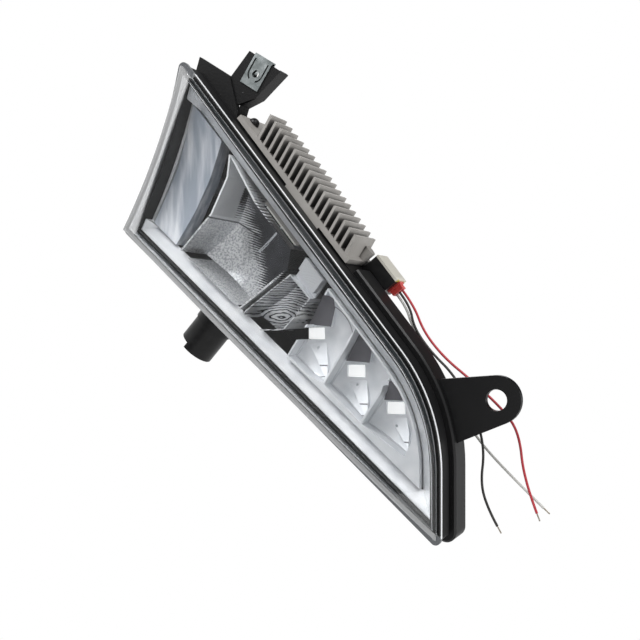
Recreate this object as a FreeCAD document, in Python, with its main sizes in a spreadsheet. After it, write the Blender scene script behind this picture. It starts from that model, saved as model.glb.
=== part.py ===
import FreeCAD, Part
import math
import os
import re
import Sketcher

# A truck spotlight. X runs right, Y runs back into the lamp, Z runs up, in millimetres.
# The origin is the middle of the bolt hole in the lower ear, on the ear's front face.

Vector = FreeCAD.Vector
doc = FreeCAD.newDocument("truck_spotlight")
sheet = doc.addObject("Spreadsheet::Sheet", "sizes")
values = {}
parts = []

# The lamp's size between its corners: heel to tip across, and tip to top. Every outline keeps its share.
lamp_wide = 215.0
lamp_high = 301.0
drawn_wide = 215.0
drawn_high = 301.0


def across(x):
    return x * lamp_wide / drawn_wide


def up(z):
    return z * lamp_high / drawn_high


def size(name, value):
    """One driving dimension: a row of the sheet with its own alias."""
    row = len(values) + 1
    sheet.set("A%d" % row, name)
    sheet.set("B%d" % row, str(value))
    sheet.setAlias("B%d" % row, name)
    values[name] = value


def corners(name, points):
    """Driving dimensions for the corners of an outline; gives back their cell names."""
    named = []
    for place, (x, z) in zip("abcdefghijkl", points):
        size("%s_%s_across" % (name, place), across(x))
        size("%s_%s_up" % (name, place), up(z))
        named.append(("%s_%s_across" % (name, place), "%s_%s_up" % (name, place)))
    return named


# Lens outline, a little inside its rim: three corners, the slope of the long upper edge and two curves.
size("top_across", across(-204))
size("top_up", up(218))
size("heel_across", across(-245.5))
size("heel_up", up(111))
size("tip_across", across(-30.5))
size("tip_up", up(-83))
size("upper_slope", math.degrees(math.atan2(up(1.2708), across(1))))
size("shoulder_radius", across(116.5))
size("bow_radius", up(378.5))
size("rim_round", 3.5)

# Lens
size("window_front", -40)
size("window_wall", 3)
size("window_inset", 3)
size("dome_radius", 2000)
size("flange_front", -30)
size("flange_thick", 3)
size("tongue_long", 10)
size("tongue_inset", 3.6)
size("tongue_thick", 2.0)
size("tongue_play", 0.6)
size("sealant_deep", 3)

# Housing
size("collar_back", -6)
size("collar_inset", 1.4)
size("back_face", 40)
size("wall", 3)
size("shell_inset", 6)
size("ledge_deep", 12)
size("ledge_wide", 1.5)
size("back_round", 5)
size("rail_proud", 3)
size("rail_back", 18)
size("rail_edge", 1.2)
size("ear_thick", 6)
size("ear_radius", 15.5)
size("ear_hole", 13.5)
size("ear_root", across(40))
size("arm_front", -5)
size("arm_thick", 5)
size("tab_thick", 3)
size("tab_rib_deep", 10)
size("seat_gap", 1)

# Inner trim
size("frame_play", 0.5)
size("frame_front", -23)
size("frame_wall", 2)
size("frame_edge", 8.6)
size("frame_inner", 15.6)
size("frame_back", -14)
size("rim_plane", -20)
size("inner_inset", 16.2)
size("skin", 2.5)
size("rim_thick", 1.2)
size("facet_step", 1.3)
size("seam_turn", 33.8)
size("seam_across", across(-171.6))
size("seam_up", up(107))
size("ridge_turn", -41.6)
size("ridge_across", across(-162))
size("ridge_up", up(108.5))
size("ridge_wide", 0.9)
size("bowl_wide", 58)
size("bowl_deep", 46)
size("lobe_wide", 32)
size("lobe_deep", 34)
size("cup_wide", 34)
size("cup_deep", 23)
size("scoop_radius", 300)
size("scoop_deep", 6)
size("tray_back", 8)
size("paddle_rise", 25)
size("hood_face", -8)
size("hood_deep", 6)
size("dot_wide", 1.8)
size("post_wide", 11)

# Heat sink, along the upper edge
size("fin_pitch", 5.85)
size("fin_thick", 1.8)
size("fin_lean", 20)
size("fin_high", 17.5)
size("fin_drop", 0.24)
size("fin_front", -10)
size("fin_deep", 38)
size("fin_short", 24.5)
size("first_fin", 64.5)
size("plate_start", 44)
size("plate_long", 126)
size("plate_thick", 3.7)
size("plate_deep", 44)
size("pad_start", 103)
size("pad_long", 37)
size("pad_high", 19)
size("pad_deep", 28)
size("pad_play", 0.5)
size("screw_wide", 4)
size("screw_head", 7.6)
size("screw_head_high", 3)
size("first_screw_along", 49)
size("first_screw_deep", 4)
size("second_screw_along", 58)
size("second_screw_deep", 26)

# Driver on the upper edge and its wires
size("driver_gap", 2)
size("driver_long", 22)
size("driver_high", 13)
size("driver_front", 20)
size("driver_deep", 20)
size("driver_plate_thick", 1.6)
size("seal_long", 5)
size("seal_high", 9.5)
size("seal_deep", 7)
size("wire_wide", 1.7)
size("red_wire_exit", 6.67)
size("black_wire_exit", 4.27)
size("white_wire_exit", 1.87)

# Spring nut on the upper tab
size("nut_wide", 15)
size("nut_long", 22)
size("nut_reach", 12.4)
size("nut_leaf", 0.9)
size("nut_hole", 5.1)
size("nut_barrel", 9)
size("nut_slit_wide", 9.6)
size("nut_slit", 1.1)
size("nut_barrel_high", 4)
size("nut_across", across(-163.2))
size("nut_up", up(215.8))
size("nut_turn", 33)

# Cable socket on the lower edge
size("socket_along", 77)
size("socket_depth", 8)
size("socket_wide", 26.6)
size("socket_neck", 20)
size("socket_long", 37)
size("collar_wide", 28.4)
size("collar_high", 21)
size("key_wide", 10)
size("key_deep", 14)
size("pin_wide", 1.5)

# Daytime lights, small parts
size("light_wide", 11.5)
size("light_high", 7.3)
size("light_face", 0)
size("board_thick", 1.6)
size("vent_wide", 16)
size("vent_high", 7)
size("vent_across", across(-118))
size("vent_up", up(34))

bowl_corners = corners("bowl", [
    (-174, 162), (-176, 145), (-188, 121), (-212, 96), (-191, 78), (-167.5, 56),
    (-132, 82), (-129.5, 95.5), (-155, 128)])
lobe_corners = corners("lobe", [(-130, 79.5), (-116, 63.5), (-135, 43), (-156, 43), (-164, 55)])
panel_corners = corners("panel", [(-124.5, 83), (-117.5, 93), (-105, 79), (-114.5, 67)])
bridge_corners = corners("bridge", [(-131, 77), (-117.5, 93), (-105, 79), (-118, 62)])
trim_corners = corners("trim", [
    (-202.5, 195.2), (-182.3, 169.6), (-191.2, 145.7), (-202.3, 123), (-215, 100.9), (-232.6, 116.7),
    (-215.4, 155.1)])
# The frame's slope stops here, so that a dark gap shows along the left edge.
gap_corners = corners("gap", [
    (-197.7, 190.1), (-220.6, 219.2), (-255.3, 136.4), (-227.8, 111.6), (-206.5, 152)])
tray_corners = corners("tray", [(-96.3, 81.4), (-139.2, 16.4), (0, -125), (20, 0), (-60, 95)])
cup_corners = [
    corners("cup_top", [(-101, 72.5), (-134, 22.5), (-107.5, 9.5), (-83.5, 47.5)]),
    corners("cup_mid", [(-82.6, 46.5), (-106.6, 8.6), (-82.2, -14.5), (-63, 14.5)]),
    corners("cup_low", [(-62.2, 13.3), (-81.2, -15.6), (-53, -35), (-42, -12)])]
lamp_spots = corners("lamp", [(-119.5, 41), (-91.3, 16.7), (-64.3, -6.6)])
paddle_corners = [
    corners("paddle_top", [(-126.3, 37), (-112.7, 37), (-109, 22), (-107.4, 10.6), (-115.5, 22)]),
    corners("paddle_mid", [(-98.1, 12.7), (-84.5, 12.7), (-81.2, -2), (-80.5, -13.5), (-88, -2)]),
    corners("paddle_low", [(-71.1, -10.6), (-57.5, -10.6), (-54.4, -22), (-53.4, -31.6), (-61, -22)])]
hood_corners = [
    corners("hood_top", [(-110, 68.4), (-102.6, 63.4), (-106.7, 45.9), (-121.2, 47.2)]),
    corners("hood_mid", [(-84.7, 45.3), (-77.6, 36.4), (-80.3, 22.9), (-95.3, 23.9)]),
    corners("hood_low", [(-65.5, 13.5), (-57.2, 5.5), (-54.5, -0.8), (-69.5, -0.6)])]
dot_spots = corners("dot", [(-117.2, 31.8), (-90.1, 7.8), (-63, -17.7)])
arm_corners = corners("arm", [
    (-205, 231), (-182, 216), (-176, 191), (-177, 184.5), (-186, 178), (-211, 212)])
tab_corners = corners("tab", [(-182, 216), (-168, 232), (-145, 216), (-163, 200), (-178, 196)])
rib_corners = corners("rib", [
    (-145, 216), (-163, 200), (-174.5, 195.5), (-176, 191), (-177, 184.5),
    (-178.6, 184.7), (-177.6, 191.2), (-175.6, 196.9), (-163.6, 201.6), (-146.1, 217.2)])
rail_corners = corners("rail", [(-96, 77), (-78, 92), (10, 60), (10, -110), (-33, -110), (-45, -60)])
screw_spots = corners("screw", [(-172, 106), (-208, 146), (-140, 58), (-104, 36), (-52, -36)])
doc.recompute()


def cells(text):
    """Turns a formula of bare dimension names into one that points at the sheet."""
    return re.sub("[a-z_]+", lambda word: "sizes." + word[0] if word[0] in values else word[0], text)


def bind(item, field, text):
    item.setExpression(field, cells(text))


def made(kind, name):
    return doc.addObject("Part::" + kind, name)


def flat(name):
    """A sketch on the upright plane through the origin, facing the front."""
    sketch = doc.addObject("Sketcher::SketchObject", name)
    sketch.Placement = FreeCAD.Placement(Vector(0, 0, 0), FreeCAD.Rotation(Vector(1, 0, 0), 90))
    return sketch


def pin_point(sketch, edge, end, across, up):
    """Holds one end of a sketch edge at a place taken from the sheet."""
    for kind, text in (("DistanceX", across), ("DistanceY", up)):
        start = sketch.getPoint(edge, end)
        index = sketch.addConstraint(
            Sketcher.Constraint(kind, edge, end, start.x if kind == "DistanceX" else start.y))
        bind(sketch, "Constraints[%d]" % index, text)


def polygon(name, named):
    """A closed outline of straight edges with its corners taken from the sheet."""
    sketch = flat(name)
    points = [Vector(values[x], values[z], 0) for x, z in named]
    count = len(points)
    for i in range(count):
        sketch.addGeometry(Part.LineSegment(points[i], points[(i + 1) % count]))
    for i in range(count):
        sketch.addConstraint(Sketcher.Constraint("Coincident", i, 2, (i + 1) % count, 1))
    for i, (across, up) in enumerate(named):
        pin_point(sketch, i, 1, across, up)
    return sketch


def prism(name, base, front, back):
    """An outline drawn out along Y from a front depth to a back depth."""
    solid = made("Extrusion", name)
    solid.Base = base
    solid.DirMode = "Custom"
    solid.Dir = Vector(0, 1, 0)
    solid.Solid = True
    bind(solid, "LengthFwd", back)
    bind(solid, "LengthRev", "0 - ( %s )" % front)
    return solid


def cut(name, base, tool):
    solid = made("Cut", name)
    solid.Base = base
    solid.Tool = tool
    return solid


def fuse(name, shapes):
    solid = made("MultiFuse", name)
    solid.Shapes = shapes
    return solid


def group(name, shapes):
    """Separate solids kept together as one piece."""
    solid = made("Compound", name)
    solid.Links = shapes
    return solid


def common(name, shapes):
    solid = made("MultiCommon", name)
    solid.Shapes = shapes
    return solid


def put(item, x, y, z):
    bind(item, "Placement.Base.x", x)
    bind(item, "Placement.Base.y", y)
    bind(item, "Placement.Base.z", z)


def box(name, x, y, z, long, deep, high):
    """A block by its lowest corner and its size along X, Y and Z."""
    solid = made("Box", name)
    bind(solid, "Length", long)
    bind(solid, "Width", deep)
    bind(solid, "Height", high)
    put(solid, x, y, z)
    return solid


def rod(name, wide, x, z, front, back):
    """A round bar along Y between two depths."""
    solid = made("Cylinder", name)
    solid.Placement.Rotation = FreeCAD.Rotation(Vector(1, 0, 0), -90)
    bind(solid, "Radius", "( %s ) / 2" % wide)
    bind(solid, "Height", "( %s ) - ( %s )" % (back, front))
    put(solid, x, front, z)
    return solid


def upright(name, wide, x, y, low, high):
    """A round bar along Z between two heights."""
    solid = made("Cylinder", name)
    bind(solid, "Radius", "( %s ) / 2" % wide)
    bind(solid, "Height", "( %s ) - ( %s )" % (high, low))
    put(solid, x, y, low)
    return solid


def bowl_shape(name, x, y, z, wide, deep, grow):
    """A rounded hollow that opens to the front, deepest on its own axis."""
    solid = made("Ellipsoid", name)
    solid.Placement.Rotation = FreeCAD.Rotation(Vector(1, 0, 0), 90)
    solid.Angle1 = -90
    solid.Angle2 = 90
    bind(solid, "Radius1", "%s + %s" % (deep, grow))
    bind(solid, "Radius2", "%s + %s" % (wide, grow))
    put(solid, x, y, z)
    return solid


def on_edge(item, turn, x, y, z):
    """Stands a piece, drawn flat, on one of the slanting edges."""
    item.Placement.Rotation = FreeCAD.Rotation(Vector(0, 1, 0), 30)
    bind(item, "Placement.Rotation.Angle", turn)
    put(item, x, y, z)


UPPER = (
    "upper_slope",
    "top_across + rim_round * sin(upper_slope * 1 deg )",
    "0",
    "top_up + rim_round * cos(upper_slope * 1 deg )")
RUN = "sqrt(pow(tip_across - heel_across ; 2 ) + pow(heel_up - tip_up ; 2 ) )"
LOWER = (
    "180 + atan(( heel_up - tip_up ) / ( tip_across - heel_across ) ) / 1 deg",
    "heel_across + ( socket_along * ( tip_across - heel_across ) "
    "- rim_round * ( heel_up - tip_up ) ) / %s" % RUN,
    "socket_depth",
    "heel_up - ( socket_along * ( heel_up - tip_up ) "
    "+ rim_round * ( tip_across - heel_across ) ) / %s" % RUN)
SEAM = ("seam_turn", "seam_across", "0", "seam_up")
RIDGE = ("ridge_turn", "ridge_across", "0", "ridge_up")
NUT = ("nut_turn", "nut_across", "arm_front + arm_thick - tab_thick", "nut_up")


def keep(label, item):
    item.Label = label
    parts.append(item)
    return item


def lens_outline(name, depth):
    """The lamp's outline: long upper edge, shoulder curve, short right edge, lower edge, hollow left edge."""
    sketch = flat(name)
    bind(sketch, "Placement.Base.y", depth)
    top = Vector(values["top_across"], values["top_up"], 0)
    heel = Vector(values["heel_across"], values["heel_up"], 0)
    tip = Vector(values["tip_across"], values["tip_up"], 0)
    slope = math.radians(values["upper_slope"])
    radius = values["shoulder_radius"]
    out = Vector(math.sin(slope), math.cos(slope), 0)
    centre_x = tip.x - radius
    run = (centre_x + radius * out.x - top.x) / math.cos(slope)
    bend = top + Vector(math.cos(slope), -math.sin(slope), 0) * run
    centre = bend - out * radius
    side = Vector(tip.x, centre.y, 0)
    chord = top - heel
    bow = values["bow_radius"]
    away = Vector(-chord.y, chord.x, 0) / chord.Length
    hub = (top + heel) / 2 + away * math.sqrt(bow * bow - chord.Length * chord.Length / 4)
    start = math.atan2(heel.y - hub.y, heel.x - hub.x)
    stop = math.atan2(top.y - hub.y, top.x - hub.x)
    face = Vector(0, 0, 1)
    sketch.addGeometry(Part.LineSegment(top, bend))
    sketch.addGeometry(Part.ArcOfCircle(Part.Circle(centre, face, radius), 0, math.pi / 2 - slope))
    sketch.addGeometry(Part.LineSegment(side, tip))
    sketch.addGeometry(Part.LineSegment(tip, heel))
    sketch.addGeometry(Part.ArcOfCircle(Part.Circle(hub, face, bow), start, stop))
    sketch.addConstraint(Sketcher.Constraint("Tangent", 0, 2, 1, 2))
    sketch.addConstraint(Sketcher.Constraint("Tangent", 1, 1, 2, 1))
    sketch.addConstraint(Sketcher.Constraint("Coincident", 2, 2, 3, 1))
    sketch.addConstraint(Sketcher.Constraint("Coincident", 3, 2, 4, 1))
    sketch.addConstraint(Sketcher.Constraint("Coincident", 4, 2, 0, 1))
    sketch.addConstraint(Sketcher.Constraint("Vertical", 2))
    pin_point(sketch, 0, 1, "top_across", "top_up")
    pin_point(sketch, 3, 2, "heel_across", "heel_up")
    pin_point(sketch, 3, 1, "tip_across", "tip_up")
    index = sketch.addConstraint(Sketcher.Constraint("Radius", 1, radius))
    bind(sketch, "Constraints[%d]" % index, "shoulder_radius")
    index = sketch.addConstraint(Sketcher.Constraint("Radius", 4, bow))
    bind(sketch, "Constraints[%d]" % index, "bow_radius")
    index = sketch.addConstraint(Sketcher.Constraint("Angle", 0, -slope))
    bind(sketch, "Constraints[%d]" % index, "-1 * upper_slope * 1 deg")
    return sketch


core = lens_outline("lens_outline", "0")
doc.recompute()
outlines = {}


def outline(inset):
    """The lamp's rim moved inwards by an inset."""
    if inset not in outlines:
        ring = made("Offset2D", "outline_%d" % (len(outlines) + 1))
        ring.Source = core
        ring.Join = 0
        bind(ring, "Value", "rim_round - ( %s )" % inset)
        outlines[inset] = ring
    return outlines[inset]


def band(name, outer, inner, front, back):
    """A closed band that follows the rim between two insets."""
    whole = prism(name + "_whole", outline(outer), front, back)
    hole = prism(name + "_hole", outline(inner), "%s - 1" % front, "%s + 1" % back)
    return cut(name, whole, hole)


FLANGE_BACK = "flange_front + flange_thick"
TONGUE_END = "flange_front + flange_thick + tongue_long"
TONGUE_IN = "tongue_inset + tongue_thick"
GROOVE_OUT = "tongue_inset - tongue_play"
GROOVE_IN = "tongue_inset + tongue_thick + tongue_play"
CAVITY = "shell_inset + ledge_wide"
CAVITY_REAR = "shell_inset + wall"
INNER_BACK = "back_face - wall"
LEDGE = "0 - ledge_deep"


def dome(name, lift):
    """A very large ball whose front is the lens's gentle bulge."""
    ball = made("Sphere", name)
    bind(ball, "Radius", "dome_radius - ( %s )" % lift)
    put(ball, "( top_across + tip_across ) / 2 - 30", "window_front + dome_radius", "( top_up + tip_up ) / 2")
    return ball


def flare(name, join, *ends):
    """A sloped block between two insets of the rim, each at its own depth."""
    block = made("Loft", name + "_flare")
    rings = []
    for place, (inset, depth) in enumerate(ends):
        ring = made("Offset2D", "%s_ring_%d" % (name, place))
        ring.Source = lens_outline("%s_ring_outline_%d" % (name, place), depth)
        ring.Join = join
        bind(ring, "Value", "rim_round - ( %s )" % inset)
        rings.append(ring)
    block.Sections = rings
    block.Solid = True
    block.Ruled = True
    return block


def build_lens():
    block = prism("window_block", outline("window_inset"), "window_front - 10", FLANGE_BACK)
    window = common("window", [block, dome("dome_outer", "0")])
    flange = prism("lens_flange", outline("0"), "flange_front", FLANGE_BACK)
    tongue = band("lens_tongue", "tongue_inset", TONGUE_IN, FLANGE_BACK + " - 1", TONGUE_END)
    body = fuse("lens_solid", [window, flange, tongue])
    hollow = prism("window_hollow", outline("window_inset + window_wall"), "window_front - 10",
                   FLANGE_BACK + " + 1")
    inside = common("window_inside", [hollow, dome("dome_inner", "window_wall")])
    keep("lens", cut("lens_body", body, inside))
    keep("lens_sealant", band("lens_bead", GROOVE_OUT, GROOVE_IN, TONGUE_END, TONGUE_END + " + sealant_deep"))


def ear_outline():
    """The ear: two straight sides running to a round end about the bolt hole."""
    sketch = flat("ear_outline")
    radius = values["ear_radius"]
    root = values["ear_root"]
    high = Vector(-2, 15.4, 0)
    low = Vector(6, -14.3, 0)
    face = Vector(0, 0, 1)
    start = math.atan2(low.y, low.x)
    stop = math.atan2(high.y, high.x)
    sketch.addGeometry(Part.ArcOfCircle(Part.Circle(Vector(0, 0, 0), face, radius), start, stop))
    sketch.addGeometry(Part.LineSegment(high, Vector(-root, 12, 0)))
    sketch.addGeometry(Part.LineSegment(Vector(-root, 12, 0), Vector(-root, -34, 0)))
    sketch.addGeometry(Part.LineSegment(Vector(-root, -34, 0), low))
    sketch.addConstraint(Sketcher.Constraint("Coincident", 0, 3, -1, 1))
    sketch.addConstraint(Sketcher.Constraint("Tangent", 0, 2, 1, 1))
    sketch.addConstraint(Sketcher.Constraint("Coincident", 1, 2, 2, 1))
    sketch.addConstraint(Sketcher.Constraint("Coincident", 2, 2, 3, 1))
    sketch.addConstraint(Sketcher.Constraint("Tangent", 3, 2, 0, 1))
    index = sketch.addConstraint(Sketcher.Constraint("Radius", 0, radius))
    bind(sketch, "Constraints[%d]" % index, "ear_radius")
    pin_point(sketch, 1, 2, "0 - ear_root", "ear_radius - 3.5")
    pin_point(sketch, 2, 2, "0 - ear_root", "0 - ear_radius * 2.2")
    return sketch


def build_housing():
    collar = prism("collar", outline("collar_inset"), FLANGE_BACK, "collar_back")
    block = prism("shell_block", outline("shell_inset"), "collar_back - 2", "back_face")
    doc.recompute()
    shell = made("Fillet", "shell")
    shell.Base = block
    shell.Edges = [
        (i + 1, values["back_round"], values["back_round"]) for i, edge in enumerate(block.Shape.Edges)
        if all(abs(spot.Y - values["back_face"]) < 0.01 for spot in edge.Vertexes)]
    arm = prism("arm", polygon("arm_outline", arm_corners), "arm_front", "arm_front + arm_thick")
    tab = prism("tab", polygon("tab_outline", tab_corners), "arm_front + arm_thick - tab_thick",
                "arm_front + arm_thick")
    rib = prism("tab_rib", polygon("rib_outline", rib_corners), "0 - tab_thick / 2", "tab_rib_deep")
    rail_edge = flare("rail", 0, ("rail_edge - rail_proud", "collar_back"),
                      ("0 - rail_proud", "collar_back + rail_edge"))
    rail_bar = prism("rail_bar", outline("0 - rail_proud"), "collar_back + rail_edge", "rail_back")
    rail = common("rail", [
        fuse("rail_whole", [rail_edge, rail_bar]),
        prism("rail_reach", polygon("rail_outline", rail_corners), "collar_back - 1", "rail_back + 1")])
    ear = prism("ear", ear_outline(), "0", "ear_thick")
    seats = group("seats", [box(
        "seat", "plate_start", "collar_back - 2", "0 - shell_inset - 1",
        "plate_long + driver_gap + driver_long + seal_long", "back_face - back_round - collar_back",
        "shell_inset + 1 - seat_gap")])
    on_edge(seats, *UPPER)
    solid = fuse("housing_solid", [collar, shell, arm, tab, rib, rail, ear, seats])
    mouth = prism("mouth", outline(CAVITY), FLANGE_BACK + " - 1", LEDGE)
    room = prism("room", outline(CAVITY_REAR), LEDGE + " - 1", INNER_BACK)
    groove = band("groove", GROOVE_OUT, GROOVE_IN, FLANGE_BACK + " - 1", TONGUE_END + " + sealant_deep")
    ear_bore = rod("ear_bore", "ear_hole", "0", "0", "0 - 10", "ear_thick + 30")
    nut_bore = rod("nut_bore", "nut_barrel + 1", "nut_across", "nut_up", "arm_front - 10", "arm_front + 20")
    port = box("pad_port", "pad_start - pad_play", "fin_front - pad_play", "0 - pad_high - 5",
               "pad_long + 2 * pad_play", "pad_deep + 2 * pad_play", "pad_high + 15")
    ports = fuse("pad_ports", [
        port,
        upright("plate_hole_a", "screw_wide", "first_screw_along", "first_screw_deep", "0 - 8", "4"),
        upright("plate_hole_b", "screw_wide", "second_screw_along", "second_screw_deep", "0 - 8", "4")])
    on_edge(ports, *UPPER)
    socket_hole = upright("socket_hole", "socket_neck + 0.4", "0", "0", "0 - shell_inset - wall - 8", "10")
    socket_seat = upright("socket_seat", "collar_wide + 1", "0", "0", "0 - shell_inset", "40")
    socket_cut = fuse("socket_cut", [socket_hole, socket_seat])
    on_edge(socket_cut, *LOWER)
    bores = [rod("back_bore_%d" % i, "screw_wide + 0.4", x, z, "back_face - 8", "back_face + 5")
             for i, (x, z) in enumerate(screw_spots)]
    vent_bore = rod("vent_bore", "vent_wide / 2", "vent_across", "vent_up", "back_face - 8", "back_face + 5")
    hollow = fuse("housing_hollow", [
        mouth, room, groove, ear_bore, nut_bore, ports, socket_cut, vent_bore] + bores)
    keep("housing", cut("housing_body", solid, hollow))


def build_trim_frame():
    whole = prism("frame_whole", outline(CAVITY + " + frame_play"), "frame_front", "frame_back")
    open_way = flare("frame", 2, ("frame_edge", "frame_front"), ("frame_inner", "frame_back"))
    wall = band("frame_wall_band", CAVITY + " + frame_play", CAVITY + " + frame_play + frame_wall",
                "frame_back - 1", LEDGE)
    ramp = cut("frame_slope", whole, open_way)
    gap = prism("frame_gap", polygon("gap_outline", gap_corners), "frame_front - 1", "frame_back + 1")
    keep("trim_frame", fuse("frame_body", [cut("frame_ramp", ramp, gap), wall]))


def post(name, spot, front):
    """A screw post that stands on the housing's back wall, and its screw hole."""
    x, z = screw_spots[spot]
    bar = rod(name + "_post", "post_wide", x, z, front, INNER_BACK)
    hole = rod(name + "_post_hole", "screw_wide", x, z, "back_face - wall - 9", "back_face")
    return bar, hole


def shrunk(name, base, amount):
    """A polygon moved inwards, its corners kept sharp."""
    ring = made("Offset2D", name)
    ring.Source = base
    ring.Join = 2
    bind(ring, "Value", "0 - ( %s )" % amount)
    return ring


def build_main_reflector(limit):
    bowl = polygon("bowl_outline", bowl_corners)
    opening = prism("bowl_open", shrunk("bowl_inner", bowl, "rim_thick"), "rim_plane - 60", INNER_BACK)
    x, z = screw_spots[0]

    def dish(name, grow):
        return bowl_shape(name, x, "rim_plane", z, "bowl_wide", "bowl_deep", grow)

    outer = common("bowl_outer", [
        prism("bowl_block", bowl, "rim_plane", INNER_BACK), dish("bowl_back", "skin"), limit])
    bar, hole = post("bowl", 0, "18")
    well = common("bowl_well", [opening, dish("bowl_front", "0")])
    below = group("lower_half", [box(
        "lower_block", "0 - 120", "rim_plane - 60", "0 - 150", "240", "140", "150")])
    on_edge(below, *SEAM)
    lower = common("bowl_lower_well", [opening, dish("bowl_lower_front", "facet_step"), below])
    gap = group("bowl_gap", [box(
        "bowl_notch", "pad_start - 1", "fin_front - 1", "0 - pad_high - 9",
        "pad_long + 2", "pad_deep - 4", "12")])
    on_edge(gap, *UPPER)
    shell = cut("bowl_shell", fuse("bowl_solid", [outer, bar]), fuse("bowl_cuts", [well, lower, hole, gap]))
    strip = group("ridge_strip", [box(
        "ridge_block", "0 - 16", "rim_plane", "0 - ridge_wide / 2", "30", "70", "ridge_wide")])
    on_edge(strip, *RIDGE)
    ridge = cut("ridge", common("ridge_band", [strip, dish("ridge_outer", "facet_step")]),
                dish("ridge_inner", "0 - ridge_wide"))
    keep("main_reflector", fuse("bowl_body", [shell, ridge]))


def build_lobe_reflector(limit):
    lobe = polygon("lobe_outline", lobe_corners)
    x, z = screw_spots[2]
    outer = common("lobe_outer", [
        prism("lobe_block", lobe, "rim_plane", INNER_BACK),
        bowl_shape("lobe_back", x, "rim_plane", z, "lobe_wide", "lobe_deep", "skin"), limit])
    panel = common("lobe_panel", [
        prism("panel_block", polygon("panel_outline", panel_corners), "rim_plane + 1", "rim_plane + 9"),
        limit])
    bridge = common("lobe_bridge", [
        prism("bridge_block", polygon("bridge_outline", bridge_corners), "rim_plane + 8", "rim_plane + 11"),
        limit])
    bar, hole = post("lobe", 2, "10")
    well = common("lobe_well", [
        prism("lobe_open", shrunk("lobe_inner", lobe, "rim_thick / 1.5"), "rim_plane - 60", INNER_BACK),
        bowl_shape("lobe_front", x, "rim_plane", z, "lobe_wide", "lobe_deep", "0")])
    keep("lobe_reflector", cut("lobe_body", fuse("lobe_solid", [outer, panel, bridge, bar]),
                               fuse("lobe_cuts", [well, hole])))


def build_side_trim():
    side = polygon("trim_outline", trim_corners)
    block = prism("trim_block", side, "rim_plane", "0")
    bar, hole = post("trim", 1, "0 - 13")

    def scoop(name, grow):
        ball = made("Sphere", name)
        bind(ball, "Radius", "scoop_radius + %s" % grow)
        put(ball, "seam_across - 25.4", "rim_plane + scoop_deep - scoop_radius", "seam_up + 43")
        return ball

    rear = cut("trim_rear", prism("trim_inner", shrunk("trim_shrunk", side, "skin"), "rim_plane", "1"),
               scoop("trim_scoop_back", "skin"))
    shell = cut("trim_shell", block, rear)
    keep("side_trim", cut("trim_body", fuse("trim_solid", [shell, bar]),
                          fuse("trim_cuts", [scoop("trim_scoop", "0"), hole])))


def build_cup_tray():
    edge = polygon("tray_outline", tray_corners)
    tray = common("tray", [
        prism("tray_limit", outline("inner_inset"), "rim_plane", "tray_back"),
        prism("tray_block", edge, "rim_plane", "tray_back")])
    cup_limit = prism("cup_limit", outline("inner_inset + rim_thick"), "rim_plane - 60", "tray_back")
    cuts = []
    backs = []
    paddles = []
    for i, (x, z) in enumerate(lamp_spots):
        open_way = polygon("cup_outline_%d" % i, cup_corners[i])
        round_spot = (x + " + 4", "rim_plane - 4", z + " - 4", "cup_wide", "cup_deep")
        cuts.append(common("cup_%d" % i, [
            prism("cup_open_%d" % i, open_way, "rim_plane - 60", "tray_back"),
            bowl_shape("cup_round_%d" % i, *round_spot, "0"), cup_limit]))
        cuts.append(box("lamp_port_%d" % i, x + " - light_wide / 2 - 0.3", "light_face - 20",
                        z + " - light_high / 2 - 0.3", "light_wide + 0.6", "40", "light_high + 0.6"))
        backs.append(common("cup_shell_%d" % i, [
            prism("cup_wall_%d" % i, shrunk("cup_grown_%d" % i, open_way, "0 - skin"), "rim_plane",
                  "tray_back"),
            bowl_shape("cup_back_%d" % i, *round_spot, "skin")]))
        backs.append(box("lamp_wall_%d" % i, x + " - light_wide / 2 - 2.5", "rim_plane",
                         z + " - light_high / 2 - 3.5", "light_wide + 5", "tray_back - rim_plane",
                         "light_high + 7"))
        tongue = prism("paddle_%d" % i, polygon("paddle_outline_%d" % i, paddle_corners[i]), "rim_plane", "2")
        slab = made("Box", "paddle_slope_%d" % i)
        bind(slab, "Length", "60")
        bind(slab, "Width", "60")
        bind(slab, "Height", "80")
        slab.Placement.Rotation = FreeCAD.Rotation(Vector(1, 0, 0), 25)
        bind(slab, "Placement.Rotation.Angle", "paddle_rise")
        slab.Placement.Rotation.Axis = Vector(-1, 0, 0)
        put(slab, x + " - 30", "light_face - 40 * sin(paddle_rise * 1 deg )",
            z + " - light_high / 2 - 40 * cos(paddle_rise * 1 deg )")
        dot_x, dot_z = dot_spots[i]
        paddles.append(cut("paddle_dotted_%d" % i, common("paddle_ramp_%d" % i, [tongue, slab]),
                           rod("dot_%d" % i, "dot_wide", dot_x, dot_z, "rim_plane - 10", "1")))
        hood = polygon("hood_outline_%d" % i, hood_corners[i])
        cuts.append(common("hood_way_%d" % i, [
            prism("hood_open_%d" % i, hood, "rim_plane - 60", "hood_face"), cup_limit]))
        paddles.append(common("hood_%d" % i, [
            prism("hood_block_%d" % i, shrunk("hood_grown_%d" % i, hood, "0 - 0.4"), "hood_face",
                  "hood_face + hood_deep"), cup_limit]))
    bar_a, hole_a = post("tray_a", 3, "0 - 8")
    bar_b, hole_b = post("tray_b", 4, "0 - 8")
    inner = common("tray_inner", [
        prism("tray_inner_limit", outline("inner_inset + skin"), "rim_plane + skin", "tray_back + 1"),
        prism("tray_inner_block", shrunk("tray_shrunk", edge, "skin"), "rim_plane + skin", "tray_back + 1")])
    hollow = cut("tray_hollow", inner, fuse("tray_backs", backs))
    shell = cut("tray_shell", tray, hollow)
    body = cut("tray_cut", fuse("tray_solid", [shell, bar_a, bar_b]),
               fuse("tray_cuts", cuts + [hole_a, hole_b]))
    keep("drl_reflector", fuse("tray_body", [body] + paddles))


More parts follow.
